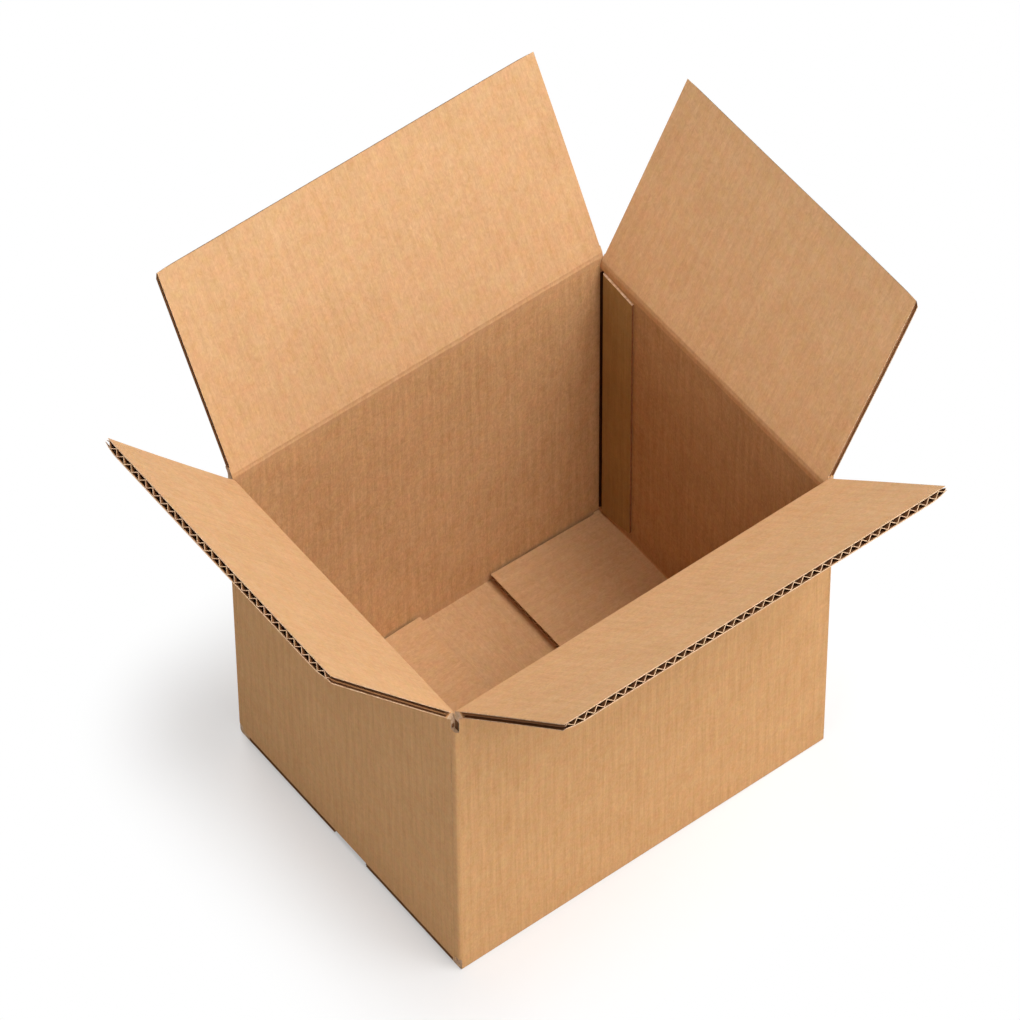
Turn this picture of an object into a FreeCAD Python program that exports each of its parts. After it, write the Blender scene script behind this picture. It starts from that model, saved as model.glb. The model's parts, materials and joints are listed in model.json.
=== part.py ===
import FreeCAD, Part
import math
import os

# An open carton of single-wall corrugated board, standing on its folded bottom flaps.
# Lengths are in millimetres and angles in degrees. X runs along the long walls, Z is up.
# "front" is towards -Y and "left" towards -X. Long walls: front and back. Short walls: left and right.

# Driving dimensions of the carton
box_length = 300.0
box_width = 240.0
long_wall_height = 275.0
board = 5.0

# Corrugated section, seen at the free edges of the flaps
liner = 0.7
medium = 0.6
flute_pitch = 7.5
flute_end_margin = 1.5
top_flute_depth = 40.0
bottom_flute_depth = 12.0

# Top flaps: depth from the crease, and how far each stands above horizontal at rest
long_wall_flap_depth = 150.0
short_wall_flap_depth = 148.0
front_flap_angle = 44.0
back_flap_angle = 62.0
left_flap_angle = 51.0
right_flap_angle = 62.0

# Bottom flaps, folded in: the outer pair from the long walls, the inner pair from the short walls
outer_bottom_depth = 103.0
left_bottom_depth = 144.0
right_bottom_depth = 97.0
left_bottom_lift = 5.0
right_bottom_lift = 2.0
glued_depth = 14.0

# Glue tab: it continues the back wall round the corner and lies crushed flat inside the right wall
tab_width = 35.0
tab_thickness = 2.5
tab_top_bevel = 3.0
tab_bottom_bevel = 8.0

# Creases, slots and corners
layer_clearance = 0.5
crease_clearance = 0.3
long_flap_side_gap = 2.5
bottom_side_gap = 1.5
slot_below_crease = 4.0
bottom_slot_above_flap = 2.0
bottom_crease_radius = 3.0
corner_radius = 2.5
inner_corner_radius = 1.0
folded_back_gap = 2.0
cut_overrun = 2.0

# Heights and planes that follow
short_wall_height = long_wall_height - board - layer_clearance
half_length = box_length / 2
half_width = box_width / 2
slot_bottom = short_wall_height - board - crease_clearance - slot_below_crease
ring_bottom = 2 * board + bottom_slot_above_flap
short_side_inset = board + layer_clearance
tab_top = short_wall_height - board - layer_clearance
tab_bottom = 2 * board + bottom_slot_above_flap

X = FreeCAD.Vector(1, 0, 0)
Y = FreeCAD.Vector(0, 1, 0)
Z = FreeCAD.Vector(0, 0, 1)


def point(x, y, z):
    return FreeCAD.Vector(x, y, z)


def prism(corners, travel):
    """A flat polygon of corners, pushed along the vector travel."""
    wire = Part.makePolygon(corners + [corners[0]])
    return Part.Face(wire).extrude(travel)


def placed(shape, origin, along, outward):
    """A shape from a board's own frame: X along the crease, Y away from it, Z through the board."""
    through = along.cross(outward)
    matrix = FreeCAD.Matrix(
        along.x, outward.x, through.x, origin.x,
        along.y, outward.y, through.y, origin.y,
        along.z, outward.z, through.z, origin.z,
        0, 0, 0, 1,
    )
    return shape.transformed(matrix, copy=True)


def flute_tunnels(width, depth):
    """The air left by the fluted medium at a free edge of this width, which lies at Y = 0."""
    rise = board - 2 * liner
    slope = math.atan2(rise, flute_pitch / 2)
    half_base = flute_pitch / 2 - medium / 2 / math.sin(slope)
    peak = half_base * math.tan(slope)
    count = int((width - 2 * flute_end_margin - flute_pitch / 2) / flute_pitch)
    start = -(count + 0.5) * flute_pitch / 2
    travel = Y * (depth + cut_overrun)
    tunnels = []
    for step in range(2 * count):
        middle = start + (step + 1) * flute_pitch / 2
        base, tip = (liner, liner + peak) if step % 2 == 0 else (board - liner, board - liner - peak)
        corners = [
            point(middle - half_base, -depth, base),
            point(middle + half_base, -depth, base),
            point(middle, -depth, tip),
        ]
        tunnels.append(prism(corners, travel))
    return Part.makeCompound(tunnels)


def top_flap(width, depth):
    """A flap in its board frame: the crease's axis is on X, the outer liner lies at Z = 0."""
    corners = [
        point(-width / 2, crease_clearance, 0),
        point(-width / 2, depth, 0),
        point(-width / 2, depth, board),
        point(-width / 2, board + crease_clearance, board),
    ]
    sheet = prism(corners, X * width)
    tunnels = flute_tunnels(width, top_flute_depth)
    tunnels.translate(Y * depth)
    return sheet.cut(tunnels)


def opened_flap(width, depth, origin, side, angle):
    """A top flap that leans outwards, to the given side, at an angle above horizontal."""
    lean = math.radians(angle)
    outward = side * math.cos(lean) + Z * math.sin(lean)
    inward_face = Z * math.cos(lean) - side * math.sin(lean)
    along = outward.cross(inward_face)
    return placed(top_flap(width, depth), origin, along, outward)


def wall_ring():
    """The four walls between the bottom slots and the top slots, rounded at the vertical folds."""
    height = slot_bottom - ring_bottom
    outside = Part.makeBox(box_length, box_width, height, point(-half_length, -half_width, ring_bottom))
    outside = outside.makeFillet(corner_radius, upright_edges(outside))
    inside = Part.makeBox(
        box_length - 2 * board,
        box_width - 2 * board,
        height + 2 * cut_overrun,
        point(board - half_length, board - half_width, ring_bottom - cut_overrun),
    )
    inside = inside.makeFillet(inner_corner_radius, upright_edges(inside))
    return outside.cut(inside)


def upright_edges(solid):
    return [edge for edge in solid.Edges if abs(edge.tangentAt(edge.FirstParameter).z) > 0.99]


def wall_top(side, along, offset, length, crease_height):
    """The top of one wall, from the slots up to its crease, mitred for the flap to fold over."""
    outer_face = side * offset - along * (length / 2)
    top = crease_height - crease_clearance
    corners = [
        outer_face + Z * slot_bottom,
        outer_face + Z * top,
        outer_face - side * board + Z * (top - board),
        outer_face - side * board + Z * slot_bottom,
    ]
    return prism(corners, along * length)


def wall_foot(side, along, offset, length, crease_height, depth, lift, glued):
    """The foot of one wall with its bottom flap, folded in over a rounded crease."""
    outer_face = side * offset - along * (length / 2)
    radius = bottom_crease_radius
    low = outer_face + Z * crease_height
    free = low - side * depth + Z * lift
    flat = max(glued, board)
    bend = low - side * flat
    rise = math.atan2(lift, depth - flat)
    top_bend = bend + Z * board - side * (board * math.tan(rise / 2))
    free_top = free + side * (board * math.sin(rise)) + Z * (board * math.cos(rise))
    arc_start = low + Z * radius
    arc_middle = low + (Z - side) * (radius * (1 - math.sqrt(0.5)))
    arc_end = low - side * radius
    path = [
        arc_end,
        bend,
        free,
        free_top,
        top_bend,
        low - side * board + Z * board,
        outer_face - side * board + Z * ring_bottom,
        outer_face + Z * ring_bottom,
        arc_start,
    ]
    edges = [Part.LineSegment(a, b).toShape() for a, b in zip(path, path[1:]) if a.distanceToPoint(b) > 1e-6]
    edges.append(Part.Arc(arc_start, arc_middle, arc_end).toShape())
    foot = Part.Face(Part.Wire(edges)).extrude(along * length)
    tunnels = flute_tunnels(length, bottom_flute_depth)
    outward = (free - bend).normalize() if lift else side * -1
    through = (free_top - free).normalize()
    tunnels = placed(tunnels, free + along * (length / 2), outward.cross(through), outward)
    return foot.cut(tunnels)


def glue_tab():
    """The crushed tab on the inside of the right wall, with both its ends cut at a slant."""
    face = half_length - board - tab_thickness
    back = half_width - board
    corners = [
        point(face, back, tab_bottom),
        point(face, back - tab_width, tab_bottom + tab_bottom_bevel),
        point(face, back - tab_width, tab_top - tab_top_bevel),
        point(face, back, tab_top),
    ]
    return prism(corners, X * (tab_thickness + board / 2))


def carton():
    """The walls, the bottom flaps and the glue tab: all one folded sheet."""
    long_top = box_length - 2 * long_flap_side_gap
    short_top = box_width - 2 * short_side_inset
    long_foot = box_length - 2 * bottom_side_gap
    walls = [
        wall_top(-Y, X, half_width, long_top, long_wall_height),
        wall_top(Y, X, half_width, long_top, long_wall_height),
        wall_top(-X, Y, half_length, short_top, short_wall_height),
        wall_top(X, Y, half_length, short_top, short_wall_height),
        wall_foot(-Y, X, half_width, long_foot, 0, outer_bottom_depth, 0, 0),
        wall_foot(Y, X, half_width, long_foot, 0, outer_bottom_depth, 0, 0),
        wall_foot(-X, Y, half_length, short_top, board, left_bottom_depth, left_bottom_lift, glued_depth),
        wall_foot(X, Y, half_length, short_top, board, right_bottom_depth, right_bottom_lift, glued_depth),
        glue_tab(),
    ]
    return wall_ring().fuse(walls).removeSplitter()


long_flap_width = box_length - 2 * long_flap_side_gap
short_flap_width = box_width - 2 * short_side_inset
hinges = {
    "front_flap": point(0, -half_width, long_wall_height),
    "back_flap": point(0, half_width, long_wall_height),
    "left_flap": point(-half_length, 0, short_wall_height),
    "right_flap": point(half_length, 0, short_wall_height),
}
nodes = {
    "carton": carton(),
    "front_flap": opened_flap(
        long_flap_width, long_wall_flap_depth, hinges["front_flap"], -Y, front_flap_angle
    ),
    "back_flap": opened_flap(
        long_flap_width, long_wall_flap_depth, hinges["back_flap"], Y, back_flap_angle
    ),
    "left_flap": opened_flap(
        short_flap_width, short_wall_flap_depth, hinges["left_flap"], -X, left_flap_angle
    ),
    "right_flap": opened_flap(
        short_flap_width, short_wall_flap_depth, hinges["right_flap"], X, right_flap_angle
    ),
}

# The frame's origin is on the floor, in the middle of the opened carton's outline seen from above.
outline = Part.makeCompound(list(nodes.values())).BoundBox
to_origin = point(-outline.Center.x, -outline.Center.y, 0)

# The back flap closes last and rests on the front one, so it stops a little short of level.
overlap_reach = box_width - long_wall_flap_depth
back_rest_angle = math.degrees(math.asin((board + layer_clearance) / overlap_reach))
closing_travel = {
    "front_flap": 180 - front_flap_angle,
    "back_flap": 180 - back_flap_angle - back_rest_angle,
    "left_flap": 180 - left_flap_angle,
    "right_flap": 180 - right_flap_angle,
}
opening_travel = {
    "front_flap": 90 + front_flap_angle - folded_back_gap,
    "back_flap": 90 + back_flap_angle - folded_back_gap,
    "left_flap": 90 + left_flap_angle - folded_back_gap,
    "right_flap": 90 + right_flap_angle - folded_back_gap,
}

os.makedirs("parts", exist_ok=True)
for name, shape in nodes.items():
    shape.translate(to_origin)
    shape.exportStep("parts/" + name + ".step")
    print(name, "valid", shape.isValid(), "solids", len(shape.Solids), "volume", round(shape.Volume))
for name, hinge in hinges.items():
    place = hinge + to_origin
    print(name, "hinge at", [round(v, 4) for v in place], "closes by", round(closing_travel[name], 3))
    print(name, "folds back by", round(opening_travel[name], 3))
print("carton axis at", [round(v, 4) for v in to_origin])
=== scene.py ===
# %% [markdown]
# # An open carton of corrugated board
#
# The object is one die-cut sheet of brown corrugated board, folded into a box, standing on its
# bottom flaps with its four top flaps leaning outwards. This file dresses it, piece by piece.
# Everything is in metres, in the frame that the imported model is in: X along the long walls, Z up.
# The frame comes first, because it says where the joints are and which bodies the pieces ride on.

# %% The frame
import bmesh
import bpy
import json
import math
from mathutils import Matrix, Vector, noise


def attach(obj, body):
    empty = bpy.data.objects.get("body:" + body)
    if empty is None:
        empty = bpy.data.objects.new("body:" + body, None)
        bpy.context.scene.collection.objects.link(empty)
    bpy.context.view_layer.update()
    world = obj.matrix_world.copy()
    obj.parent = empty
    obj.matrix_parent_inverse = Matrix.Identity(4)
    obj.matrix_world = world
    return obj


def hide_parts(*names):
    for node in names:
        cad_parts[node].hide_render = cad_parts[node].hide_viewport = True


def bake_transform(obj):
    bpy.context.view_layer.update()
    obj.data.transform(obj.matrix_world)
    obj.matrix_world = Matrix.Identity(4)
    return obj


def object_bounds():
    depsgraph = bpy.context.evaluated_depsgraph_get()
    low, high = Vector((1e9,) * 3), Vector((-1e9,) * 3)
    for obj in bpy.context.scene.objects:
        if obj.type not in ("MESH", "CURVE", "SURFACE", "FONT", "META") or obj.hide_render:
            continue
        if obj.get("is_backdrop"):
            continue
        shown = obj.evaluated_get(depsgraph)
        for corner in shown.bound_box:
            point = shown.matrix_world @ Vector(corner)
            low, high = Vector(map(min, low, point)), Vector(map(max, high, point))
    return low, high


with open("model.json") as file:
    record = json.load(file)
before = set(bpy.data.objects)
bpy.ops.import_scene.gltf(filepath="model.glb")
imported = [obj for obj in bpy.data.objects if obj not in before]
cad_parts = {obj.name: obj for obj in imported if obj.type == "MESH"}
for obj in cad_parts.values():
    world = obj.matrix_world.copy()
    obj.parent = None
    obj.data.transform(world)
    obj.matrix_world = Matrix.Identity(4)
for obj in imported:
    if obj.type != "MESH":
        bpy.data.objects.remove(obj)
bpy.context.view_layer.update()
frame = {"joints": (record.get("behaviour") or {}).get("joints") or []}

# %% [markdown]
# ## What the frame already says
#
# Each top flap turns on its crease, and the crease is a joint of the frame. The walls could be
# measured again, but the joints' places already give their outer faces and the heights where they
# end. The side of a wall is the horizontal direction from the box outwards.

# %% Creases and walls, read from the joints
MM = 0.001
X = Vector((1, 0, 0))
Y = Vector((0, 1, 0))
Z = Vector((0, 0, 1))
OUTWARD = {"front": -Y, "back": Y, "left": -X, "right": X}
CREASE = {}
CLOSES = {}
for joint in frame["joints"]:
    side = joint["name"].split("_")[0]
    CREASE[side] = Vector(joint["pos_m"])
    CLOSES[side] = math.radians(joint["range_deg"][1])
box_length = (CREASE["right"] - CREASE["left"]).dot(X)
box_width = (CREASE["back"] - CREASE["front"]).dot(Y)
axis_x = CREASE["front"].x
axis_y = CREASE["left"].y
print("box", round(box_length, 4), "x", round(box_width, 4), "x", CREASE["front"].z, "m")

# %% [markdown]
# ## Sizes of the board
#
# The board is 5 mm thick: two flat liners with a fluted paper, the medium, glued between them.
# Its outer sizes are those that the solids were cut to. The papers could have the solids'
# thickness too, but they are a tenth of a millimetre thinner, which comes closer to the light
# and narrow edges in the photo.

# %% Sizes of the board
board = 5.0 * MM
liner = 0.6 * MM
medium = 0.5 * MM
flute_pitch = 7.5 * MM
medium_side_gap = 0.05 * MM
crest_round = 0.5 * MM
crushed_reach = 6.0 * MM
crease_reach = 5.3 * MM
layer_clearance = 0.5 * MM
slot_bottom = 260.2 * MM
wall_foot_top = 12.0 * MM
print("air between the liners", round((board - 2 * liner) / MM, 2), "mm")

# %% Widths and depths of the flaps
long_flap_width = 295.0 * MM
short_flap_width = 229.0 * MM
long_flap_depth = 150.0 * MM
short_flap_depth = 148.0 * MM
long_foot_width = 297.0 * MM
outer_bottom_depth = 103.0 * MM
left_bottom_depth = 144.0 * MM
right_bottom_depth = 97.0 * MM
left_bottom_lift = 5.0 * MM
right_bottom_lift = 3.5 * MM


def by_wall(long_value, short_value):
    """One value for the front and the back, and another for the left and the right."""
    return {"front": long_value, "back": long_value, "left": short_value, "right": short_value}


FLAP_WIDTH = by_wall(long_flap_width, short_flap_width)
FLAP_DEPTH = by_wall(long_flap_depth, short_flap_depth)
LEAN = {side: math.pi - CLOSES[side] for side in CLOSES}
LEAN["back"] -= math.asin((board + layer_clearance) / (box_width - long_flap_depth))
print("flaps lean", {side: round(math.degrees(LEAN[side]), 1) for side in LEAN}, "degrees up")

# %% [markdown]
# ## Laying the board out flat
#
# A carton is cut flat and folded afterwards, and its paper keeps the marks of that: the flutes and
# the fibres run straight up each wall and on into the flap above it. Each board could be modelled
# where it stands. Instead it is modelled lying flat, X across the flutes, Y along them and Z through
# the board, and every vertex notes that flat place in an attribute before the sheet is folded into
# position. The kraft paper reads the attribute, and its streaks then follow the board round a fold.

# %% Notes of the flat place, and the fold into position
BLANK = "blank"
SIDES = ["front", "right", "back", "left"]
side_spacing = 1.0


def note_flat_place(mesh, side, shift=Vector()):
    """Write each vertex's place on the flat blank; every side of the box has its own stretch."""
    layer = mesh.verts.layers.float_vector.new(BLANK)
    start = Vector((SIDES.index(side) * side_spacing, 0, 0))
    for vertex in mesh.verts:
        vertex[layer] = vertex.co + start + shift


def fold_to(origin, along, away):
    """The matrix from the flat sheet to a place: X along the crease, Y away from it, Z inwards."""
    through = along.cross(away)
    turn = Matrix((along, away, through)).transposed()
    return Matrix.Translation(origin) @ turn.to_4x4()


def crease_line(side):
    """The direction that a side's flat X axis takes on the box."""
    return Z.cross(-OUTWARD[side])


def flap_place(side):
    """The fold that brings a flat flap to its lean above the wall."""
    lean = LEAN[side]
    away = OUTWARD[side] * math.cos(lean) + Z * math.sin(lean)
    return fold_to(CREASE[side], crease_line(side), away)


def wall_place(side):
    """The fold that stands a flat wall up, with its crease at Y = 0."""
    return fold_to(CREASE[side], crease_line(side), Z)


print("flat X of the front side runs along", tuple(crease_line("front")))

# %% [markdown]
# ## Corrugated board
#
# The free edges of the flaps show what the sheet is made of: dark triangular openings between a
# light zigzag and two light liners. A painted stripe could stand for that from far away, but the
# openings are deep and change with the light, so the liners and the fluted medium are made as the
# paper sheets that they are. First come the few helpers that every board piece needs: a section
# drawn out to a bar, rounded edges, and one mesh joined into another.

# %% Kinds of faces, and helpers that shape a mesh
LINER_FACE = 0
CUT_FACE = 1
MEDIUM_AND_SHADE_FACE = 2
OUTER_FACE = 3
PRESSED_TAB_AND_SHADE_FACE = 4
WALL_FACE = 5
PAINTED_FOLD_SHADE_FACE = 6
PAINTED_SHADE_FACE = 7
slanting = 0.3
halfway = 0.5
squarely = 0.9
exactly = 0.97
same_place = 1e-6


def move(mesh, matrix):
    bmesh.ops.transform(mesh, matrix=matrix, verts=mesh.verts)


def new_vertices(result):
    return [item for item in result["geom"] if isinstance(item, bmesh.types.BMVert)]


def draw_out(mesh, section, travel):
    """A closed section drawn out along a vector into a bar; gives back the far end's vertices."""
    end = mesh.faces.new([mesh.verts.new(place) for place in section])
    far = new_vertices(bmesh.ops.extrude_face_region(mesh, geom=[end]))
    bmesh.ops.translate(mesh, vec=travel, verts=far)
    return far


def round_edges(mesh, edges, offset, segments):
    bmesh.ops.bevel(mesh, geom=edges, offset=offset, affect="EDGES", segments=segments, profile=0.5,
                    material=-1)


def lies_on(edge, place):
    """True for an edge that runs along the crease through a place of the section."""
    for vertex in edge.verts:
        if abs(vertex.co.y - place.y) > same_place or abs(vertex.co.z - place.z) > same_place:
            return False
    return True


def add_to(whole, part):
    """Join one bmesh into another; the vertex notes and face materials come along."""
    carrier = bpy.data.meshes.new("carrier")
    part.to_mesh(carrier)
    part.free()
    whole.from_mesh(carrier)
    bpy.data.meshes.remove(carrier)


trial = bmesh.new()
draw_out(trial, [Vector(), Y, Z], X)
print("a triangle drawn out has", len(trial.faces), "faces")
trial.free()

# %% [markdown]
# ## A liner
#
# The liner is the flat paper on either side of the board. One plain box would do for a new sheet,
# but this one has to warp a little with the rest of the carton. So a grid of cells is scaled to
# size and extruded to the paper's thickness, and the face that is glued to the flutes gets the
# fluted paper's dark finish, with its painted shade.

# %% One liner in the flat frame
cells_across = 48
cells_along = 24
unit_half = 0.5


def sheet_of_paper(width, low, high, floor, ceiling, cells):
    """A closed liner in the flat frame, in cells so that it can warp; its hidden face is glued."""
    mesh = bmesh.new()
    bmesh.ops.create_grid(mesh, x_segments=cells[0], y_segments=cells[1], size=unit_half)
    size = Matrix.Diagonal((width, high - low, 1, 1))
    move(mesh, Matrix.Translation((0, (low + high) / 2, ceiling)) @ size)
    under = new_vertices(bmesh.ops.extrude_face_region(mesh, geom=mesh.faces[:]))
    bmesh.ops.translate(mesh, vec=(0, 0, floor - ceiling), verts=under)
    bmesh.ops.recalc_face_normals(mesh, faces=mesh.faces)
    inner = floor + ceiling > board
    seen = LINER_FACE if inner else OUTER_FACE
    for face in mesh.faces:
        # The face glued to the flutes takes the fluted paper, which carries painted shade.
        facing = face.normal.z if inner else -face.normal.z
        face.material_index = CUT_FACE
        if abs(facing) > halfway:
            face.material_index = seen if facing > 0 else MEDIUM_AND_SHADE_FACE
    return mesh


trial = sheet_of_paper(long_flap_width, 0, long_flap_depth, 0, liner, (cells_across, cells_along))
print("a liner has", len(trial.faces), "faces")
trial.free()

# %% [markdown]
# ## The fluted medium
#
# The medium is a paper pressed into waves between hot rollers. A sine curve in a formula would give
# its shape, but the real one is nearly straight between tight crests. So it starts as a row of
# crests and troughs, is drawn out along the flutes, gets its tips rounded with a bevel and its
# thickness with solidify. A few cuts across let it bend, and one lies where the free edge is crushed.

# %% The fluted medium in the flat frame
crest_segments = 2
stretches = 6


def wavy_strip(span, low, high):
    """The zigzag row of crests and troughs, drawn out along the flutes."""
    mesh = bmesh.new()
    tips = 2 * round(span / flute_pitch)
    step = span / tips
    bottom = liner + medium / 2
    top = board - liner - medium / 2
    middle = (bottom + top) / 2
    row = [mesh.verts.new((-span / 2, low, middle))]
    for tip in range(tips):
        height = top if tip % 2 else bottom
        row.append(mesh.verts.new(((tip + 0.5) * step - span / 2, low, height)))
    row.append(mesh.verts.new((span / 2, low, middle)))
    folds = [mesh.edges.new(pair) for pair in zip(row, row[1:])]
    far = new_vertices(bmesh.ops.extrude_edge_only(mesh, edges=folds))
    bmesh.ops.translate(mesh, vec=(0, high - low, 0), verts=far)
    return mesh


def fluted_medium(width, low, high):
    """The wavy paper between the liners, with its tips rounded."""
    mesh = wavy_strip(width - 2 * medium_side_gap, low, high)
    crests = [edge for edge in mesh.edges if len(edge.link_faces) == 2]
    round_edges(mesh, crests, crest_round, crest_segments)
    bmesh.ops.recalc_face_normals(mesh, faces=mesh.faces)
    bmesh.ops.solidify(mesh, geom=mesh.faces[:], thickness=medium)
    heights = [vertex.co.z for vertex in mesh.verts]
    centring = board / 2 - (min(heights) + max(heights)) / 2
    bmesh.ops.translate(mesh, vec=(0, 0, centring), verts=mesh.verts)
    bmesh.ops.recalc_face_normals(mesh, faces=mesh.faces)
    # The medium's faces take the fluted paper with its painted shade; its cut ends stay pale.
    for face in mesh.faces:
        is_end = max(abs(face.normal.y), abs(face.normal.x)) > exactly
        face.material_index = CUT_FACE if is_end else MEDIUM_AND_SHADE_FACE
    stations = [low + (high - low) * share / stretches for share in range(1, stretches)]
    for station in stations + [high - crushed_reach]:
        everything = mesh.verts[:] + mesh.edges[:] + mesh.faces[:]
        bmesh.ops.bisect_plane(mesh, geom=everything, plane_co=(0, station, 0), plane_no=(0, 1, 0))
    return mesh


trial = fluted_medium(long_flap_width, 0, long_flap_depth)
print("a long flap's medium has", len(trial.faces), "faces")
trial.free()

# %% [markdown]
# ## A stretch of board
#
# Two liners and the medium between them make the board. They could be separate objects, but they
# move as one sheet, so they are joined into one mesh. The inner layers may be trimmed at one end,
# which is how the wall behind the glue tab gets its crevice, made dark with painted shade.

# %% Liners and medium together
def corrugated(side, width, low, high, shift=Vector(), cells=(cells_across, cells_along), trim=0.0):
    """A stretch of board from Y = low to Y = high, its inner layers trimmed at the -X end."""
    whole = bmesh.new()
    whole.verts.layers.float_vector.new(BLANK)
    parts = [
        sheet_of_paper(width, low, high, 0, liner, cells),
        sheet_of_paper(width - trim, low, high, board - liner, board, cells),
        fluted_medium(width - trim, low, high),
    ]
    for part in parts[1:]:
        move(part, Matrix.Translation((trim / 2, 0, 0)))
    for part in parts:
        note_flat_place(part, side, shift)
        add_to(whole, part)
    return whole


trial = corrugated("front", long_flap_width, crease_reach, long_flap_depth)
print("a long flap has", len(trial.faces), "faces")
trial.free()

# %% [markdown]
# ## Creases
#
# A crease is a line where the machine has crushed the flutes flat, so that the board folds there.
# On the open box it shows as a soft rounded bend with a faint groove. Two boards that only meet at
# an edge would tear apart when the flap moves. So it is made as a bar with a bent section between
# the wall's end and the flap's root: six corners, drawn out along the crease, with the bends
# rounded by a bevel and the inner one pressed in a little. It belongs to the wall at one end and
# to the flap at the other; it rides on no body and keeps the shape of the flaps' lean at rest.

# %% The crease bar of one side
bend_round = 2.6 * MM
bend_segments = 10
hinge_round = 1.2 * MM
hinge_segments = 4
groove_reach = 1.0 * MM
GROOVE = {"front": 0.1 * MM, "back": 0.25 * MM, "left": 0.1 * MM, "right": 0.1 * MM}


def press_groove(mesh, middle, depth):
    """Push the inner bend in along its middle, deepest on the crease line itself."""
    for vertex in mesh.verts:
        flat = Vector((0, vertex.co.y, vertex.co.z))
        if flat.dot(middle) < board / 2:
            continue
        aside = (flat - middle * flat.dot(middle)).length / groove_reach
        vertex.co -= middle * (depth * math.exp(-aside * aside))


def crease_bar(side):
    """The bar in the wall's flat frame: its flap end is already turned to the flap's lean."""
    bend = math.pi / 2 - LEAN[side]
    away = Vector((0, math.cos(bend), -math.sin(bend)))
    inward = Vector((0, math.sin(bend), math.cos(bend)))
    half = FLAP_WIDTH[side] / 2
    corner = Vector((0, board * math.tan(bend / 2), board))
    section = [
        Vector((0, -crease_reach, board)),
        corner,
        away * crease_reach + inward * board,
        away * crease_reach,
        Vector((0, 0, 0)),
        Vector((0, -crease_reach, 0)),
    ]
    mesh = bmesh.new()
    draw_out(mesh, [place - X * half for place in section], X * (2 * half))
    round_edges(mesh, [edge for edge in mesh.edges if lies_on(edge, corner)], bend_round, bend_segments)
    hinge_edge = [edge for edge in mesh.edges if lies_on(edge, Vector((0, 0, 0)))]
    round_edges(mesh, hinge_edge, hinge_round, hinge_segments)
    middle = corner.normalized()
    press_groove(mesh, middle, GROOVE[side])
    lengthwise = [edge for edge in mesh.edges if abs(edge.verts[0].co.x - edge.verts[1].co.x) > half]
    bmesh.ops.subdivide_edges(mesh, edges=lengthwise, cuts=cells_across - 1, use_grid_fill=True)
    bmesh.ops.recalc_face_normals(mesh, faces=mesh.faces)
    for face in mesh.faces:
        inside = face.calc_center_median().yz.dot(middle.yz) > board / 2
        face.material_index = LINER_FACE if inside else OUTER_FACE
        if abs(face.normal.x) > squarely:
            face.material_index = CUT_FACE
    note_flat_place(mesh, side)
    return mesh


trial = crease_bar("back")
print("a crease bar has", len(trial.faces), "faces")
trial.free()

# %% [markdown]
# ## Settling
#
# Board that has been handled is never quite flat. Each piece could be bent by hand, but then the
# neighbours would no longer meet. One smooth field of small moves, worked out from each vertex's
# place in the box, bends every piece alike. It fades out at the creases and at the floor, where the
# layers lie close together and would cut into each other. The noise gets a seed, because without
# one Blender takes the clock, and the box would settle otherwise at each run.

# %% The field of small moves
settle_length = 110.0 * MM
settle_height = 0.25 * MM
calm_reach = 60.0 * MM
settle_seed = 1
noise.seed_set(settle_seed)


def settled(place):
    """A small move for a vertex, from smooth noise; it fades out at the creases and at the floor."""
    calm = min(abs(place.z - CREASE["front"].z), place.z)
    share = min(1.0, max(0.0, calm) / calm_reach)
    return noise.noise_vector(place / settle_length) * settle_height * share


wall_middle = CREASE["front"] - Z * (CREASE["front"].z / 2)
print("the front wall's middle moves by", round(settled(wall_middle).length / MM, 3), "mm")

# %% [markdown]
# ## Finishing a piece
#
# A finished piece is an object at the origin, with its place in its mesh, so that it can ride on its
# body and be exported as it is. Smooth shading with sharp edges above an angle keeps the bends soft
# and the cut edges crisp, without more faces.

# %% A mesh becomes a piece that rides on its body
sharp_angle = math.radians(35)


def finish_piece(mesh, name, body, materials):
    """Write the mesh into an object at the origin, and let it ride on its body."""
    for vertex in mesh.verts:
        vertex.co += settled(vertex.co)
    data = bpy.data.meshes.new(name)
    mesh.to_mesh(data)
    mesh.free()
    for material in materials:
        data.materials.append(material)
    data.shade_smooth()
    data.set_sharp_from_angle(angle=sharp_angle)
    piece = bpy.data.objects.new(name, data)
    bpy.context.scene.collection.objects.link(piece)
    if body:
        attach(piece, body)
    print(name, "has", len(data.polygons), "faces")
    return piece


print("edges stay sharp above", round(math.degrees(sharp_angle)), "degrees")

# %% [markdown]
# ## Kraft paper
#
# Brown kraft is unbleached pulp. From a step away it shows three things: fine streaks along the
# flutes, where the liner dips between the glued tips, a mottle of long fibres, and slow clouds of
# redder and yellower brown. All of them could be one noise, but they have their own directions and
# sizes, so each is a texture of its own, in millimetres on the flat blank. The dips also get painted
# shade, a wave of darker and lighter tone across the flutes. Three helpers keep the
# node trees short: one makes a node, one does a sum, and one makes a noise with a grain of its own.

# %% Helpers for node trees
noise_step = 180


def add_node(tree, kind, place, **values):
    """A node of that kind, with its settings and the values of its unlinked sockets."""
    made = tree.nodes.new(kind)
    made.location = place
    for name, value in values.items():
        if hasattr(made, name):
            setattr(made, name, value)
        else:
            made.inputs[name.replace("_", " ")].default_value = value
    return made


def calculate(tree, operation, place, first, second):
    """A Math node: each side is a number or another node's output."""
    made = add_node(tree, "ShaderNodeMath", place, operation=operation)
    for socket, side in zip(made.inputs, (first, second)):
        if isinstance(side, bpy.types.NodeSocket):
            tree.links.new(side, socket)
        else:
            socket.default_value = side
    return made.outputs[0]


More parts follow.
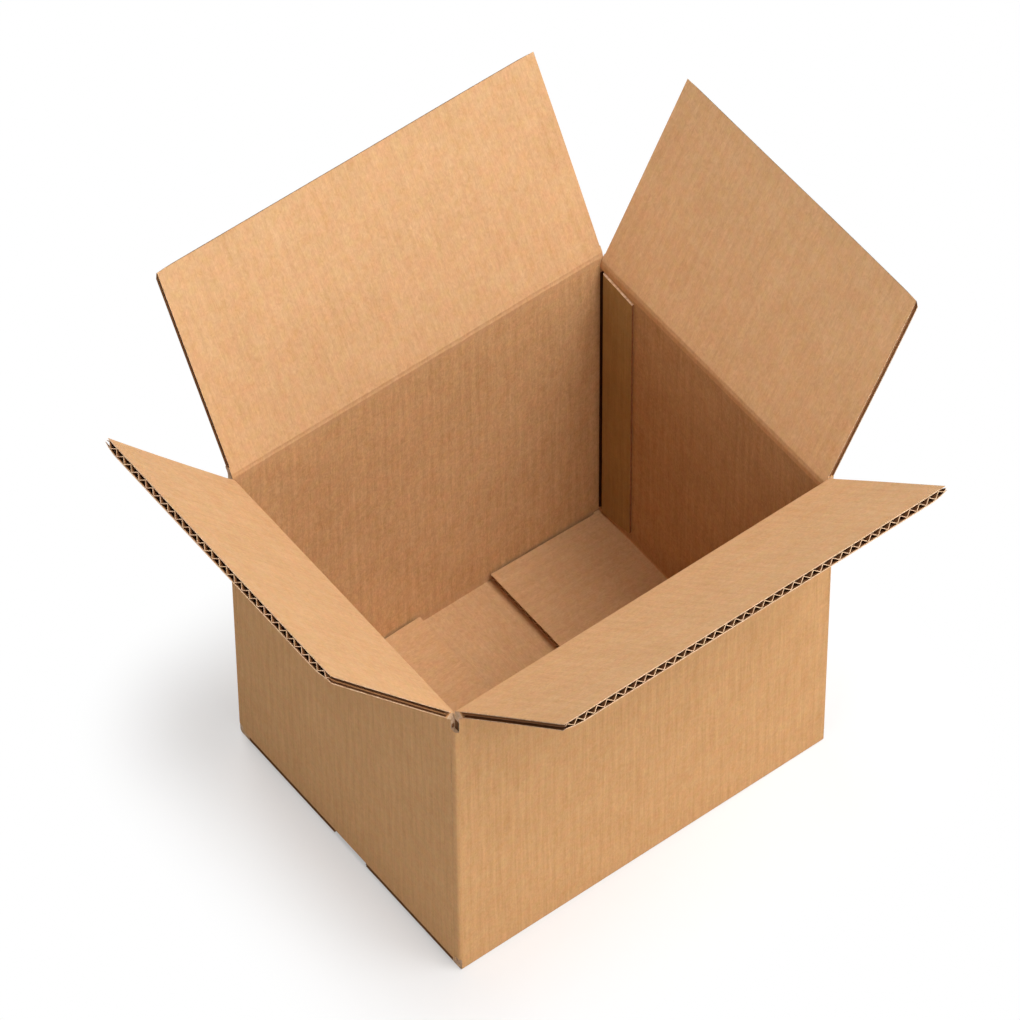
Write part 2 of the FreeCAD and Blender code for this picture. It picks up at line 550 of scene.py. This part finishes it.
def stretched_noise(tree, place, source, size, detail, roughness, swirl):
    """Noise about 0 whose grain measures size, in millimetres, across the flutes and along them."""
    mapping = add_node(tree, "ShaderNodeMapping", place)
    mapping.inputs["Scale"].default_value = [1.0 / length for length in size]
    tree.links.new(source, mapping.inputs["Vector"])
    grain = add_node(tree, "ShaderNodeTexNoise", (place[0] + noise_step, place[1]),
                     Scale=1.0, Detail=detail, Roughness=roughness, Distortion=swirl)
    tree.links.new(mapping.outputs[0], grain.inputs["Vector"])
    return calculate(tree, "SUBTRACT", (place[0] + 2 * noise_step, place[1]), grain.outputs["Fac"], 0.5)


print("three helpers for node trees are ready")

# %% [markdown]
# ## The kraft paper group
#
# The liners, the cut edges and the fluted medium are all the same kind of paper in other tones. A
# material each, built from the start, would repeat some fifty nodes eight times. One node group
# holds them instead: the place on the blank goes in with two paper colours and three strengths,
# and the colour, the relief and the roughness come out.

# %% What the paper is made of
GRAINS = {
    "streaks": ((1.7, 42.0, 9.0), 2.0, 0.6, 0.0),
    "fine": ((0.55, 3.2, 2.0), 3.0, 0.55, 0.0),
    "mottle": ((3.4, 4.2, 3.0), 2.0, 0.6, 1.6),
    "clouds": ((26.0, 34.0, 30.0), 3.0, 0.55, 0.0),
    "redder": ((7.0, 9.0, 8.0), 2.0, 0.55, 0.0),
    "yellower": ((5.0, 6.0, 4.0), 2.0, 0.55, 0.0),
}
TINTS = {
    "redder": ((1.035, 0.945, 0.94), 2.6, 0.4),
    "yellower": ((0.985, 1.0, 0.88), 3.0, 0.3),
}
middle_tone = 0.5
# The dips are painted as shade in the tone, and raised in the relief.
painted_dip_shade = 0.055
dip_relief = 0.045
streak_relief = 0.16
grain_relief = 0.05
plain_roughness = 0.8
grain_roughness = 0.25
print("grain sizes in mm across, along and through:", {name: GRAINS[name][0] for name in GRAINS})


# %% Parts of the kraft paper group
def group_sockets(group):
    """The group's named inputs and outputs."""
    sockets = group.interface
    sockets.new_socket("Place", in_out="INPUT", socket_type="NodeSocketVector")
    sockets.new_socket("Dark Paper", in_out="INPUT", socket_type="NodeSocketColor")
    sockets.new_socket("Light Paper", in_out="INPUT", socket_type="NodeSocketColor")
    for name in ("Streaks", "Fibres", "Clouds"):
        sockets.new_socket(name, in_out="INPUT", socket_type="NodeSocketFloat")
    sockets.new_socket("Color", in_out="OUTPUT", socket_type="NodeSocketColor")
    sockets.new_socket("Height", in_out="OUTPUT", socket_type="NodeSocketFloat")
    sockets.new_socket("Roughness", in_out="OUTPUT", socket_type="NodeSocketFloat")


def flute_dips(group, place):
    """A wave across the flutes, from the liner's dips between its glued tips."""
    apart = add_node(group, "ShaderNodeSeparateXYZ", (-1100, -800))
    group.links.new(place, apart.inputs[0])
    turn = calculate(group, "MULTIPLY", (-900, -800), apart.outputs["X"], 2 * math.pi * MM / flute_pitch)
    return calculate(group, "SINE", (-720, -800), turn, 0.0)


def paper_tone(group, given, grains, grain, dips):
    """Where the paper stands between its dark and its light colour."""
    streak_part = calculate(group, "MULTIPLY", (-400, 400), grains["streaks"], given.outputs["Streaks"])
    fibre_part = calculate(group, "MULTIPLY", (-340, 150), grain, given.outputs["Fibres"])
    cloud_part = calculate(group, "MULTIPLY", (-400, -200), grains["clouds"], given.outputs["Clouds"])
    # The dips are painted as shade: a wave of darker and lighter tone across the flutes.
    dip_part = calculate(group, "MULTIPLY", (-400, -600), dips, painted_dip_shade)
    dip_shade_seen = calculate(group, "MULTIPLY", (-220, -600), dip_part, given.outputs["Streaks"])
    tone = calculate(group, "ADD", (-200, 300), streak_part, fibre_part)
    tone = calculate(group, "ADD", (-20, 250), tone, cloud_part)
    tone = calculate(group, "ADD", (160, 200), tone, dip_shade_seen)
    return calculate(group, "ADD", (340, 150), tone, middle_tone)


def tinted(group, place, color, grain, tint, gain, start):
    """Multiply a colour by a tint, in patches where a grain is high."""
    share = calculate(group, "MULTIPLY_ADD", (place[0] - noise_step, place[1] - 350), grain, gain)
    share.node.inputs[2].default_value = start
    share.node.use_clamp = True
    mixed = add_node(group, "ShaderNodeMix", place, data_type="RGBA", blend_type="MULTIPLY")
    mixed.inputs["B"].default_value = (*tint, 1)
    group.links.new(share, mixed.inputs["Factor"])
    group.links.new(color, mixed.inputs["A"])
    return mixed.outputs["Result"]


def paper_relief(group, streaks, grain, dips):
    """The height of the surface in millimetres: the dips, the streaks and the fibres."""
    dip_part = calculate(group, "MULTIPLY", (160, -350), dips, dip_relief)
    streak_part = calculate(group, "MULTIPLY", (160, -500), streaks, streak_relief)
    grain_part = calculate(group, "MULTIPLY", (160, -650), grain, grain_relief)
    relief = calculate(group, "ADD", (340, -400), dip_part, streak_part)
    return calculate(group, "ADD", (520, -400), relief, grain_part)


print("tints", {name: TINTS[name][0] for name in TINTS})


# %% The kraft paper group
def kraft_paper_group():
    """Place on the blank in, tone and relief out: one group for every face of the board."""
    group = bpy.data.node_groups.new("kraft_paper", "ShaderNodeTree")
    group_sockets(group)
    given = add_node(group, "NodeGroupInput", (-1500, 0))
    result = add_node(group, "NodeGroupOutput", (1200, 0))
    in_mm = add_node(group, "ShaderNodeVectorMath", (-1300, 0), operation="SCALE", Scale=1 / MM)
    group.links.new(given.outputs["Place"], in_mm.inputs[0])
    place = in_mm.outputs[0]

    grains = {}
    for row, (name, values) in enumerate(GRAINS.items()):
        grains[name] = stretched_noise(group, (-1100, 400 - 200 * row), place, *values)
    grain = calculate(group, "ADD", (-520, 150), grains["fine"], grains["mottle"])
    dips = flute_dips(group, place)

    paper = add_node(group, "ShaderNodeMix", (520, 200), data_type="RGBA")
    group.links.new(paper_tone(group, given, grains, grain, dips), paper.inputs["Factor"])
    group.links.new(given.outputs["Dark Paper"], paper.inputs["A"])
    group.links.new(given.outputs["Light Paper"], paper.inputs["B"])
    color = paper.outputs["Result"]
    for column, (name, values) in enumerate(TINTS.items()):
        color = tinted(group, (700 + noise_step * column, 200), color, grains[name], *values)
    group.links.new(color, result.inputs["Color"])

    relief = paper_relief(group, grains["streaks"], grain, dips)
    group.links.new(relief, result.inputs["Height"])
    sheen = calculate(group, "MULTIPLY", (340, -800), grain, grain_roughness)
    sheen = calculate(group, "ADD", (520, -800), sheen, plain_roughness)
    group.links.new(sheen, result.inputs["Roughness"])
    return group


kraft_paper = kraft_paper_group()
print("the kraft group has", len(kraft_paper.nodes), "nodes")

# %% [markdown]
# ## The finishes of the board
#
# The liner outside is yellower than the one inside, and the cut edges are pale and furry. The
# fluted paper is dark paper, darkened further with painted shade, because little light gets in
# between the liners. The tab was crushed, and its paper is darker with painted shade as well. The
# folds between two walls are almost closed, and their insides are painted near-black shade. The
# right wall's inside lies in deeper shade than the lamps here give it, so it is painted shade: a
# darker copy of the wall's liner. Other lamps could darken that wall, but they would change the
# flaps too. So each of these is a finish of its own: the same group in a plain shader, with its own
# values.

# %% One finish
def board_finish(name, dark, light, streaks, fibres, clouds, relief, gloss):
    """A material: the kraft group reads the flat place and feeds one shader."""
    material = bpy.data.materials.new(name)
    material.use_nodes = True
    tree = material.node_tree
    shader = tree.nodes["Principled BSDF"]
    shader.inputs["Specular IOR Level"].default_value = gloss
    place = add_node(tree, "ShaderNodeAttribute", (-800, 0), attribute_name=BLANK)
    paper = add_node(tree, "ShaderNodeGroup", (-560, 0), node_tree=kraft_paper)
    paper.inputs["Dark Paper"].default_value = (*dark, 1)
    paper.inputs["Light Paper"].default_value = (*light, 1)
    paper.inputs["Streaks"].default_value = streaks
    paper.inputs["Fibres"].default_value = fibres
    paper.inputs["Clouds"].default_value = clouds
    bump = add_node(tree, "ShaderNodeBump", (-280, -200), Strength=relief, Distance=MM)
    tree.links.new(place.outputs["Vector"], paper.inputs["Place"])
    tree.links.new(paper.outputs["Color"], shader.inputs["Base Color"])
    tree.links.new(paper.outputs["Roughness"], shader.inputs["Roughness"])
    tree.links.new(paper.outputs["Height"], bump.inputs["Height"])
    tree.links.new(bump.outputs["Normal"], shader.inputs["Normal"])
    return material


print("a finish reads each vertex's place from the attribute", BLANK)

# %% All the finishes, in the order of the kinds of faces
inner_liner = board_finish("inner_liner", (0.50, 0.288, 0.137), (0.66, 0.415, 0.227),
                           streaks=0.6, fibres=1.1, clouds=0.5, relief=0.7, gloss=0.2)
cut_edge = board_finish("cut_edge", (0.42, 0.26, 0.15), (0.74, 0.53, 0.36),
                        streaks=0.3, fibres=1.6, clouds=0.3, relief=0.6, gloss=0.1)
# The fluted paper is dark paper made darker still with painted shade, for the flutes' deep openings.
fluted_paper_and_shade = board_finish("fluted_paper_and_shade", (0.19, 0.080, 0.030), (0.35, 0.17, 0.075),
                            streaks=0.6, fibres=0.8, clouds=0.3, relief=0.6, gloss=0.1)
outer_liner = board_finish("outer_liner", (0.54, 0.285, 0.115), (0.70, 0.405, 0.190),
                           streaks=1.1, fibres=1.0, clouds=0.5, relief=0.7, gloss=0.2)
# The tab's paper is crushed board, darkened further with painted shade.
pressed_tab_and_shade = board_finish("pressed_tab_and_shade", (0.31, 0.195, 0.070), (0.43, 0.280, 0.115),
                           streaks=1.3, fibres=1.0, clouds=0.8, relief=0.7, gloss=0.2)
wall_liner = board_finish("wall_liner", (0.49, 0.282, 0.126), (0.69, 0.432, 0.228),
                          streaks=0.9, fibres=1.3, clouds=0.5, relief=0.9, gloss=0.2)
# Painted shade: near-black paper for the insides of the upright folds and the crevice beside the glue tab.
painted_fold_shade = board_finish("painted_fold_shade", (0.045, 0.020, 0.008), (0.10, 0.045, 0.018),
                         streaks=0.5, fibres=0.8, clouds=0.3, relief=0.5, gloss=0.1)
# Painted shade: a darker copy of the wall's liner, for the right wall's inside.
painted_shade_liner = board_finish("painted_shade_liner", (0.38, 0.218, 0.098), (0.55, 0.345, 0.182),
                            streaks=0.9, fibres=1.3, clouds=0.7, relief=0.9, gloss=0.2)
MATERIALS = [inner_liner, cut_edge, fluted_paper_and_shade, outer_liner, pressed_tab_and_shade, wall_liner, painted_fold_shade,
             painted_shade_liner]
print("finishes", [material.name for material in MATERIALS])

# %% [markdown]
# ## Top flaps
#
# The four top flaps lean outwards, each with a slight curl of its own. On the back and the right
# one the free edge was crushed by the knife, so the outer liner is pressed towards the inner one,
# and the corners are worn most. Sculpting could do that, but a rule repeats: the nearer a vertex
# lies to the edge and the corner, the further it goes in. Each flap is dressed together with its
# crease, which meets it at the lean it rests at.

# %% Crushed edges and curled flaps
edge_set_back = 1.2 * MM
worn_reach = 14.0 * MM
worn_share = 0.4


def crush_free_edge(mesh, depth, half, share_left):
    """Press the last few millimetres towards the inner liner, and the two free corners more."""
    for vertex in mesh.verts:
        nearness = max(0.0, vertex.co.y - depth + crushed_reach) / crushed_reach
        corner = max(0.0, abs(vertex.co.x) - half + worn_reach) / worn_reach
        pressed = (1 - share_left) + share_left * worn_share * corner * corner
        outer = 1 - vertex.co.z / board
        vertex.co.z += board * outer * pressed * nearness
        vertex.co.y -= edge_set_back * outer * pressed * nearness


def curl(mesh, depth, rise):
    """Bend a flap a little out of flat, from nothing at the crease to rise at its free edge."""
    for vertex in mesh.verts:
        share = vertex.co.y / depth
        vertex.co.z += rise * share * share


print("corners are worn over", round(worn_reach / MM), "mm")

# %% Top flaps and their creases
side_play = 0.5 * MM
CRUSHED_TO = {"front": 1.0, "back": 0.45, "left": 1.0, "right": 0.35}
CURL = {"front": -0.3 * MM, "back": -1.5 * MM, "left": 1.5 * MM, "right": 1.5 * MM}
for side in SIDES:
    depth = FLAP_DEPTH[side]
    mesh = corrugated(side, FLAP_WIDTH[side] - 2 * side_play, crease_reach, depth)
    crush_free_edge(mesh, depth, FLAP_WIDTH[side] / 2, CRUSHED_TO[side])
    curl(mesh, depth, CURL[side])
    move(mesh, flap_place(side))
    flap = finish_piece(mesh, side + "_flap_board", side + "_flap", MATERIALS)
    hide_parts(side + "_flap")

    mesh = crease_bar(side)
    move(mesh, wall_place(side))
    bar = finish_piece(mesh, side + "_crease", None, MATERIALS)
    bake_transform(bar)

# %% [markdown]
# ## Feet and bottom flaps
#
# At the floor each wall turns under the box over a rounded crease and goes on as a bottom flap. The
# outer flaps lie on the floor and the inner ones on top of them, their free edges a little up. The
# turn could be cut from the wall's own board, but it doesn't show its flutes, so a plain bar with
# one rounded edge does for it, and the flap that shows its edge is corrugated board again.

# %% The turn at the foot, and the bottom flap
FOOT_CREASE = by_wall(0.0, board)
FOOT_WIDTH = by_wall(long_foot_width, short_flap_width)
BOTTOM_DEPTH = {"front": outer_bottom_depth, "back": outer_bottom_depth,
                "left": left_bottom_depth, "right": right_bottom_depth}
BOTTOM_LIFT = {"front": 0.0, "back": 0.0, "left": left_bottom_lift, "right": right_bottom_lift}
SIDE_GAP = by_wall(0.0, 1.2 * MM)
foot_radius = 3.0 * MM
foot_segments = 6
glued_depth = 14.0 * MM
beside_blank = 1.0


def bottom_bar(side):
    """The rounded turn from the wall's foot into its bottom flap, in the wall's flat frame."""
    low = FOOT_CREASE[side] - CREASE[side].z
    high = wall_foot_top - CREASE[side].z
    half = FOOT_WIDTH[side] / 2
    mesh = bmesh.new()
    section = [
        Vector((0, high, 0)),
        Vector((0, low, 0)),
        Vector((0, low, 2 * board)),
        Vector((0, low + board, 2 * board)),
        Vector((0, low + board, board)),
        Vector((0, high, board)),
    ]
    draw_out(mesh, [place - X * half for place in section], X * (2 * half))
    outside = [edge for edge in mesh.edges if lies_on(edge, section[1])]
    round_edges(mesh, outside, foot_radius, foot_segments)
    bmesh.ops.recalc_face_normals(mesh, faces=mesh.faces)
    for face in mesh.faces:
        inside = max(face.normal.y, face.normal.z) > squarely
        face.material_index = LINER_FACE if inside else OUTER_FACE
        if abs(face.normal.x) > squarely:
            face.material_index = CUT_FACE
    note_flat_place(mesh, side)
    return mesh


def bottom_flap(side):
    """A folded-in bottom flap, from the bar to its free edge, where it may stand up a little."""
    depth = BOTTOM_DEPTH[side]
    shift = Vector((0, -2 * depth - beside_blank, 0))
    mesh = corrugated(side, FOOT_WIDTH[side] - 2 * SIDE_GAP[side], 2 * board, depth, shift=shift)
    for vertex in mesh.verts:
        share = max(0.0, vertex.co.y - glued_depth) / (depth - glued_depth)
        vertex.co.z = board - vertex.co.z + BOTTOM_LIFT[side] * share
    bmesh.ops.reverse_faces(mesh, faces=mesh.faces)
    swapped = {LINER_FACE: OUTER_FACE, OUTER_FACE: LINER_FACE}
    for face in mesh.faces:
        face.material_index = swapped.get(face.material_index, face.material_index)
    low = CREASE[side] + Z * (FOOT_CREASE[side] - CREASE[side].z)
    along = (-OUTWARD[side]).cross(Z)
    move(mesh, Matrix.Translation(low) @ Matrix((along, -OUTWARD[side], Z)).transposed().to_4x4())
    return mesh


trial = bottom_bar("left")
print("the turn at a foot has", len(trial.faces), "faces")
trial.free()

# %% [markdown]
# ## Upright folds
#
# Between two walls the board folds round an upright corner. Bevelled walls that meet there would
# show a seam. So a post with a section like an L takes the corner, as high as the walls are whole,
# rounded outside. Inside, where the folded papers almost touch, its faces are painted near-black shade.

# %% The upright fold between two walls
corner_radius = 2.5 * MM
corner_segments = 8


def upright_fold(a, b):
    """The rounded corner post between two walls, as high as the walls are whole."""
    corner = Vector((CREASE[b].x, CREASE[a].y, wall_foot_top))
    into_a = -OUTWARD[b]
    into_b = -OUTWARD[a]
    end_a = (box_length - long_flap_width) / 2
    end_b = (box_width - short_flap_width) / 2
    mesh = bmesh.new()
    section = [
        corner,
        corner + into_b * end_b,
        corner + into_b * end_b + into_a * board,
        corner + into_b * board + into_a * board,
        corner + into_b * board + into_a * end_a,
        corner + into_a * end_a,
    ]
    draw_out(mesh, section, Z * (slot_bottom - wall_foot_top))
    sharp = [edge for edge in mesh.edges
             if all((vertex.co - corner).xy.length < same_place for vertex in edge.verts)]
    round_edges(mesh, sharp, corner_radius, corner_segments)
    bmesh.ops.recalc_face_normals(mesh, faces=mesh.faces)
    layer = mesh.verts.layers.float_vector.new(BLANK)
    start = (SIDES.index(a) + 0.5) * side_spacing
    for vertex in mesh.verts:
        across = (vertex.co - corner).dot(into_a) - (vertex.co - corner).dot(into_b)
        vertex[layer] = Vector((start + across, vertex.co.z, 0))
    inner_side = into_a + into_b
    # The faces inside the fold are painted near-black shade.
    for face in mesh.faces:
        face.material_index = PAINTED_FOLD_SHADE_FACE if face.normal.dot(inner_side) > 0 else OUTER_FACE
        if abs(face.normal.z) > squarely:
            face.material_index = CUT_FACE
    return mesh


trial = upright_fold("front", "right")
print("an upright fold has", len(trial.faces), "faces")
trial.free()

# %% [markdown]
# ## Walls
#
# The four walls are flat boards between the upright folds, from the turn at the foot up to the
# crease. They could be four objects, but on the real box they and the bottom flaps are one sheet
# that never moves, so all of it goes into one mesh. The right wall's inner layers stop a few
# millimetres short of the back wall, which leaves the narrow crevice that the photo shows
# beside the glue tab; its darkness is painted shade, a near-black finish on the outer liner seen at
# its bottom. The right wall's inside is painted shade too, a darker copy of the wall's liner.

# %% Walls, feet, bottom flaps and upright folds in one mesh
tab_crevice = 4.5 * MM
wall_cells_along = 40
outer_paper = 1.1 * liner
carton = bmesh.new()
carton.verts.layers.float_vector.new(BLANK)
for side in SIDES:
    low = wall_foot_top - CREASE[side].z
    trim = tab_crevice if side == "right" else 0.0
    cells = (cells_across, wall_cells_along)
    wall = corrugated(side, FLAP_WIDTH[side], low, -crease_reach, cells=cells, trim=trim)
    for face in wall.faces:
        # The right wall's inside is painted shade, a darker copy of the wall's liner.
        if face.material_index == LINER_FACE:
            face.material_index = PAINTED_SHADE_FACE if side == "right" else WALL_FACE
        # The outer liner's glued face, seen at the bottom of the crevice beside the glue tab, is painted
        # near-black shade.
        elif face.normal.z > halfway and max(vertex.co.z for vertex in face.verts) < outer_paper:
            face.material_index = PAINTED_FOLD_SHADE_FACE
    move(wall, wall_place(side))
    add_to(carton, wall)
    foot = bottom_bar(side)
    move(foot, wall_place(side))
    add_to(carton, foot)
    add_to(carton, bottom_flap(side))
for a, b in [("front", "right"), ("back", "right"), ("back", "left"), ("front", "left")]:
    add_to(carton, upright_fold(a, b))
print("the carton has", len(carton.faces), "faces so far")

# %% [markdown]
# ## Glue tab
#
# The back wall carries on round its corner as a narrow tab, crushed thin and glued to the inside
# of the right wall. Its two ends are cut at a slant. Flutes that are crushed flat don't show, so
# the tab is one section drawn out to its thickness, a little thinner at its free edge.

# %% The glue tab
tab_width = 35.0 * MM
tab_thickness = 1.6 * MM
tab_edge_thickness = 1.5 * MM
tab_top = 264.0 * MM
tab_top_bevel = 3.0 * MM
tab_bottom_bevel = 8.0 * MM
tab_root_round = 1.0 * MM
tab_root_segments = 4
tab_blank_start = 7.0


def glue_tab():
    """The tab thins towards its free edge, and its root leaves a crevice at the back wall."""
    mesh = bmesh.new()
    glued = CREASE["right"].x - board + liner / 2
    back = CREASE["back"].y - board - tab_crevice
    free = CREASE["back"].y - board - tab_width
    section = [
        Vector((glued, back, wall_foot_top)),
        Vector((glued, free, wall_foot_top + tab_bottom_bevel)),
        Vector((glued, free, tab_top - tab_top_bevel)),
        Vector((glued, back, tab_top)),
    ]
    for vertex in draw_out(mesh, section, Vector()):
        root = vertex.co.y > back - tab_width / 2
        vertex.co.x -= (tab_thickness if root else tab_edge_thickness) + liner / 2
    bmesh.ops.recalc_face_normals(mesh, faces=mesh.faces)
    face = glued - tab_thickness - liner / 2
    root_edge = [edge for edge in mesh.edges
                 if all(abs(vertex.co.x - face) < same_place and abs(vertex.co.y - back) < same_place
                        for vertex in edge.verts)]
    round_edges(mesh, root_edge, tab_root_round, tab_root_segments)
    layer = mesh.verts.layers.float_vector.new(BLANK)
    for vertex in mesh.verts:
        vertex[layer] = Vector((tab_blank_start + vertex.co.y, vertex.co.z, 0))
    # The tab's faces take its crushed paper with painted shade; its free edge and root take the dark fluted
    # paper, painted shade along the edge and in the crevice.
    for item in mesh.faces:
        item.material_index = PRESSED_TAB_AND_SHADE_FACE if abs(item.normal.x) > slanting else CUT_FACE
        if abs(item.normal.y) > squarely:
            item.material_index = MEDIUM_AND_SHADE_FACE
    return mesh


add_to(carton, glue_tab())
carton_board = finish_piece(carton, "carton_board", "carton", MATERIALS)
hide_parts("carton")

# %% [markdown]
# ## Camera
#
# The camera looks down from the front left through a long lens, which keeps the upright folds
# almost parallel. It could be aimed by eye at the middle of the box, but then the corners wouldn't
# fall where the photo has them. Its place and turn were fitted to those corners instead, and the
# lens is the fitted focal length in pixels, turned into millimetres on the sensor.

# %% Camera
camera_place = Vector((-1.8544, -2.4283, 4.2686))
camera_yaw = math.radians(37.09)
camera_pitch = math.radians(52.6)
camera_roll = math.radians(-0.51)
focal_pixels = 8031.0
picture_width = 1020.0
sensor_width_mm = 36.0
far_clip = 100.0
ahead = Vector((math.sin(camera_yaw) * math.cos(camera_pitch),
                math.cos(camera_yaw) * math.cos(camera_pitch), -math.sin(camera_pitch)))
level_right = Vector((math.cos(camera_yaw), -math.sin(camera_yaw), 0))
level_up = level_right.cross(ahead)
right = level_right * math.cos(camera_roll) + level_up * math.sin(camera_roll)
up = right.cross(ahead)
camera_data = bpy.data.cameras.new("camera")
camera_data.sensor_width = sensor_width_mm
camera_data.lens = focal_pixels * sensor_width_mm / picture_width
camera_data.clip_end = far_clip
camera = bpy.data.objects.new("camera", camera_data)
turn = Matrix((right, up, -ahead)).transposed().to_4x4()
camera.matrix_world = Matrix.Translation(camera_place) @ turn
bpy.context.scene.collection.objects.link(camera)
bpy.context.scene.camera = camera
print("lens", round(camera_data.lens, 1), "mm")

# %% [markdown]
# ## Floor
#
# The box stands on a plain white floor that shows only its soft shadow. More light would whiten
# the floor, but the paper with it. So near the box the floor is a lit grey with a little glow that
# only the camera sees, and further out it gives way to a glow of strength 1, which is white.

# %% What only the camera sees
def seen_directly(tree, place):
    """1 for what the camera sees, itself or through gloss or glass, and 0 for light that bounces."""
    rays = add_node(tree, "ShaderNodeLightPath", (place[0] - 200, place[1]))
    seen = calculate(tree, "MAXIMUM", place, rays.outputs["Is Camera Ray"], rays.outputs["Is Glossy Ray"])
    return calculate(tree, "MAXIMUM", (place[0] + 200, place[1]), seen, rays.outputs["Is Transmission Ray"])


print("white shows to the camera, and in gloss and glass")

# %% How far a spot on the floor is from the box
shadow_full = 10.0 * MM
shadow_gone = 110.0 * MM


def beyond_the_shadow(tree):
    """0 beside the walls and 1 further out, where painted white covers the shadow, from the distance to the
    box's foot.
    """
    place = add_node(tree, "ShaderNodeTexCoord", (-1500, 200))
    centred = add_node(tree, "ShaderNodeVectorMath", (-1300, 200), operation="SUBTRACT")
    centred.inputs[1].default_value = (axis_x, axis_y, 0)
    folded = add_node(tree, "ShaderNodeVectorMath", (-1100, 200), operation="ABSOLUTE")
    beyond = add_node(tree, "ShaderNodeVectorMath", (-900, 200), operation="SUBTRACT")
    beyond.inputs[1].default_value = (box_length / 2, box_width / 2, 0)
    outside = add_node(tree, "ShaderNodeVectorMath", (-700, 200), operation="MAXIMUM")
    outside.inputs[1].default_value = (0, 0, 0)
    away = add_node(tree, "ShaderNodeVectorMath", (-500, 200), operation="LENGTH")
    fade = add_node(tree, "ShaderNodeMapRange", (-300, 200), interpolation_type="SMOOTHSTEP")
    fade.inputs["From Min"].default_value = shadow_full
    fade.inputs["From Max"].default_value = shadow_gone
    tree.links.new(place.outputs["Object"], centred.inputs[0])
    for source, target in zip([centred, folded, beyond, outside], [folded, beyond, outside, away]):
        tree.links.new(source.outputs[0], target.inputs[0])
    tree.links.new(away.outputs["Value"], fade.inputs["Value"])
    return fade.outputs["Result"]


print("the shadow fades from", shadow_full, "to", shadow_gone, "m off the walls")

# %% The white floor
floor_tone = 0.55
floor_roughness = 0.9
floor_glow = 0.36
floor_reach = 12.0


def white_floor_material():
    """A lit grey with a glow near the box, and plain white further out."""
    material = bpy.data.materials.new("white_floor")
    material.use_nodes = True
    tree = material.node_tree
    shader = tree.nodes["Principled BSDF"]
    shader.inputs["Base Color"].default_value = (floor_tone, floor_tone, floor_tone, 1)
    shader.inputs["Roughness"].default_value = floor_roughness
    shader.inputs["Specular IOR Level"].default_value = 0.0
    glow = add_node(tree, "ShaderNodeEmission", (-200, -300))
    seen = seen_directly(tree, (-500, -700))
    tree.links.new(calculate(tree, "MULTIPLY", (0, -400), seen, floor_glow), glow.inputs["Strength"])
    lit = add_node(tree, "ShaderNodeAddShader", (200, 0))
    tree.links.new(shader.outputs[0], lit.inputs[0])
    tree.links.new(glow.outputs[0], lit.inputs[1])
    # Further out, painted white for the camera covers the floor's shadow.
    whiteness = calculate(tree, "MULTIPLY", (0, 300), beyond_the_shadow(tree), seen)
    white = add_node(tree, "ShaderNodeEmission", (200, -200))
    final = add_node(tree, "ShaderNodeMixShader", (450, 0))
    tree.links.new(whiteness, final.inputs[0])
    tree.links.new(lit.outputs[0], final.inputs[1])
    tree.links.new(white.outputs[0], final.inputs[2])
    tree.links.new(final.outputs[0], tree.nodes["Material Output"].inputs["Surface"])
    return material


mesh = bmesh.new()
bmesh.ops.create_grid(mesh, x_segments=1, y_segments=1, size=floor_reach)
floor_data = bpy.data.meshes.new("floor")
mesh.to_mesh(floor_data)
mesh.free()
floor_data.materials.append(white_floor_material())
floor = bpy.data.objects.new("floor", floor_data)
bpy.context.scene.collection.objects.link(floor)
floor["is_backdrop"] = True
print("the floor reaches", floor_reach, "m each way")

# %% [markdown]
# ## World and lamps
#
# The photo has the soft light of a studio, brightest from above and from the right, with low light
# from the front. A bright world alone would leave no shadow, so the world gives only a breath of
# light and is white for the camera, and five large round lamps do the lighting.

# %% World
world_strength = 0.02
world = bpy.data.worlds.new("studio")
bpy.context.scene.world = world
world.use_nodes = True
nodes = world.node_tree.nodes
links = world.node_tree.links
nodes["Background"].inputs["Color"].default_value = (1, 1, 1, 1)
nodes["Background"].inputs["Strength"].default_value = world_strength
seen = nodes.new("ShaderNodeBackground")
seen.inputs["Color"].default_value = (1, 1, 1, 1)
seen.inputs["Strength"].default_value = 1.0
choose = nodes.new("ShaderNodeMixShader")
links.new(seen_directly(world.node_tree, (-300, 300)), choose.inputs[0])
links.new(nodes["Background"].outputs[0], choose.inputs[1])
links.new(seen.outputs[0], choose.inputs[2])
links.new(choose.outputs[0], nodes["World Output"].inputs["Surface"])
bpy.context.scene.view_settings.view_transform = "Standard"
print("the world lights with strength", world_strength)

# %% Lamps
lamp_distance = 3.0
lamp_size = 1.6
aim = Vector((axis_x, axis_y, 0.14))
LAMPS = {
    "key_front_right": ((0.35, -0.35, 0.87), 56.0),
    "high_front": ((0.0, -0.5, 0.87), 44.0),
    "high_back": ((0.0, 0.5, 0.87), 42.0),
    "low_front": ((0.0, -0.97, 0.25), 22.5),
    "low_left": ((-0.9, -0.35, 0.25), 20.0),
}


def lamp(name, direction, watts):
    """A round soft lamp at a distance from the box in that direction, turned towards it."""
    data = bpy.data.lights.new(name, "AREA")
    data.shape = "DISK"
    data.size = lamp_size
    data.energy = watts
    item = bpy.data.objects.new(name, data)
    item.location = aim + Vector(direction).normalized() * lamp_distance
    item.rotation_mode = "QUATERNION"
    item.rotation_quaternion = (aim - item.location).to_track_quat("-Z", "Y")
    bpy.context.scene.collection.objects.link(item)


for name, (direction, watts) in LAMPS.items():
    lamp(name, direction, watts)
print(len(LAMPS), "lamps with", sum(watts for direction, watts in LAMPS.values()), "W")

# %% [markdown]
# ## Size, and the end
#
# The dressed box may not grow out of the solids' box, because other parts are placed by that box.

# %% Size of the dressed model, and the end
low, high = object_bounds()
print("dressed box", [round(v, 4) for v in (high - low)], "m")
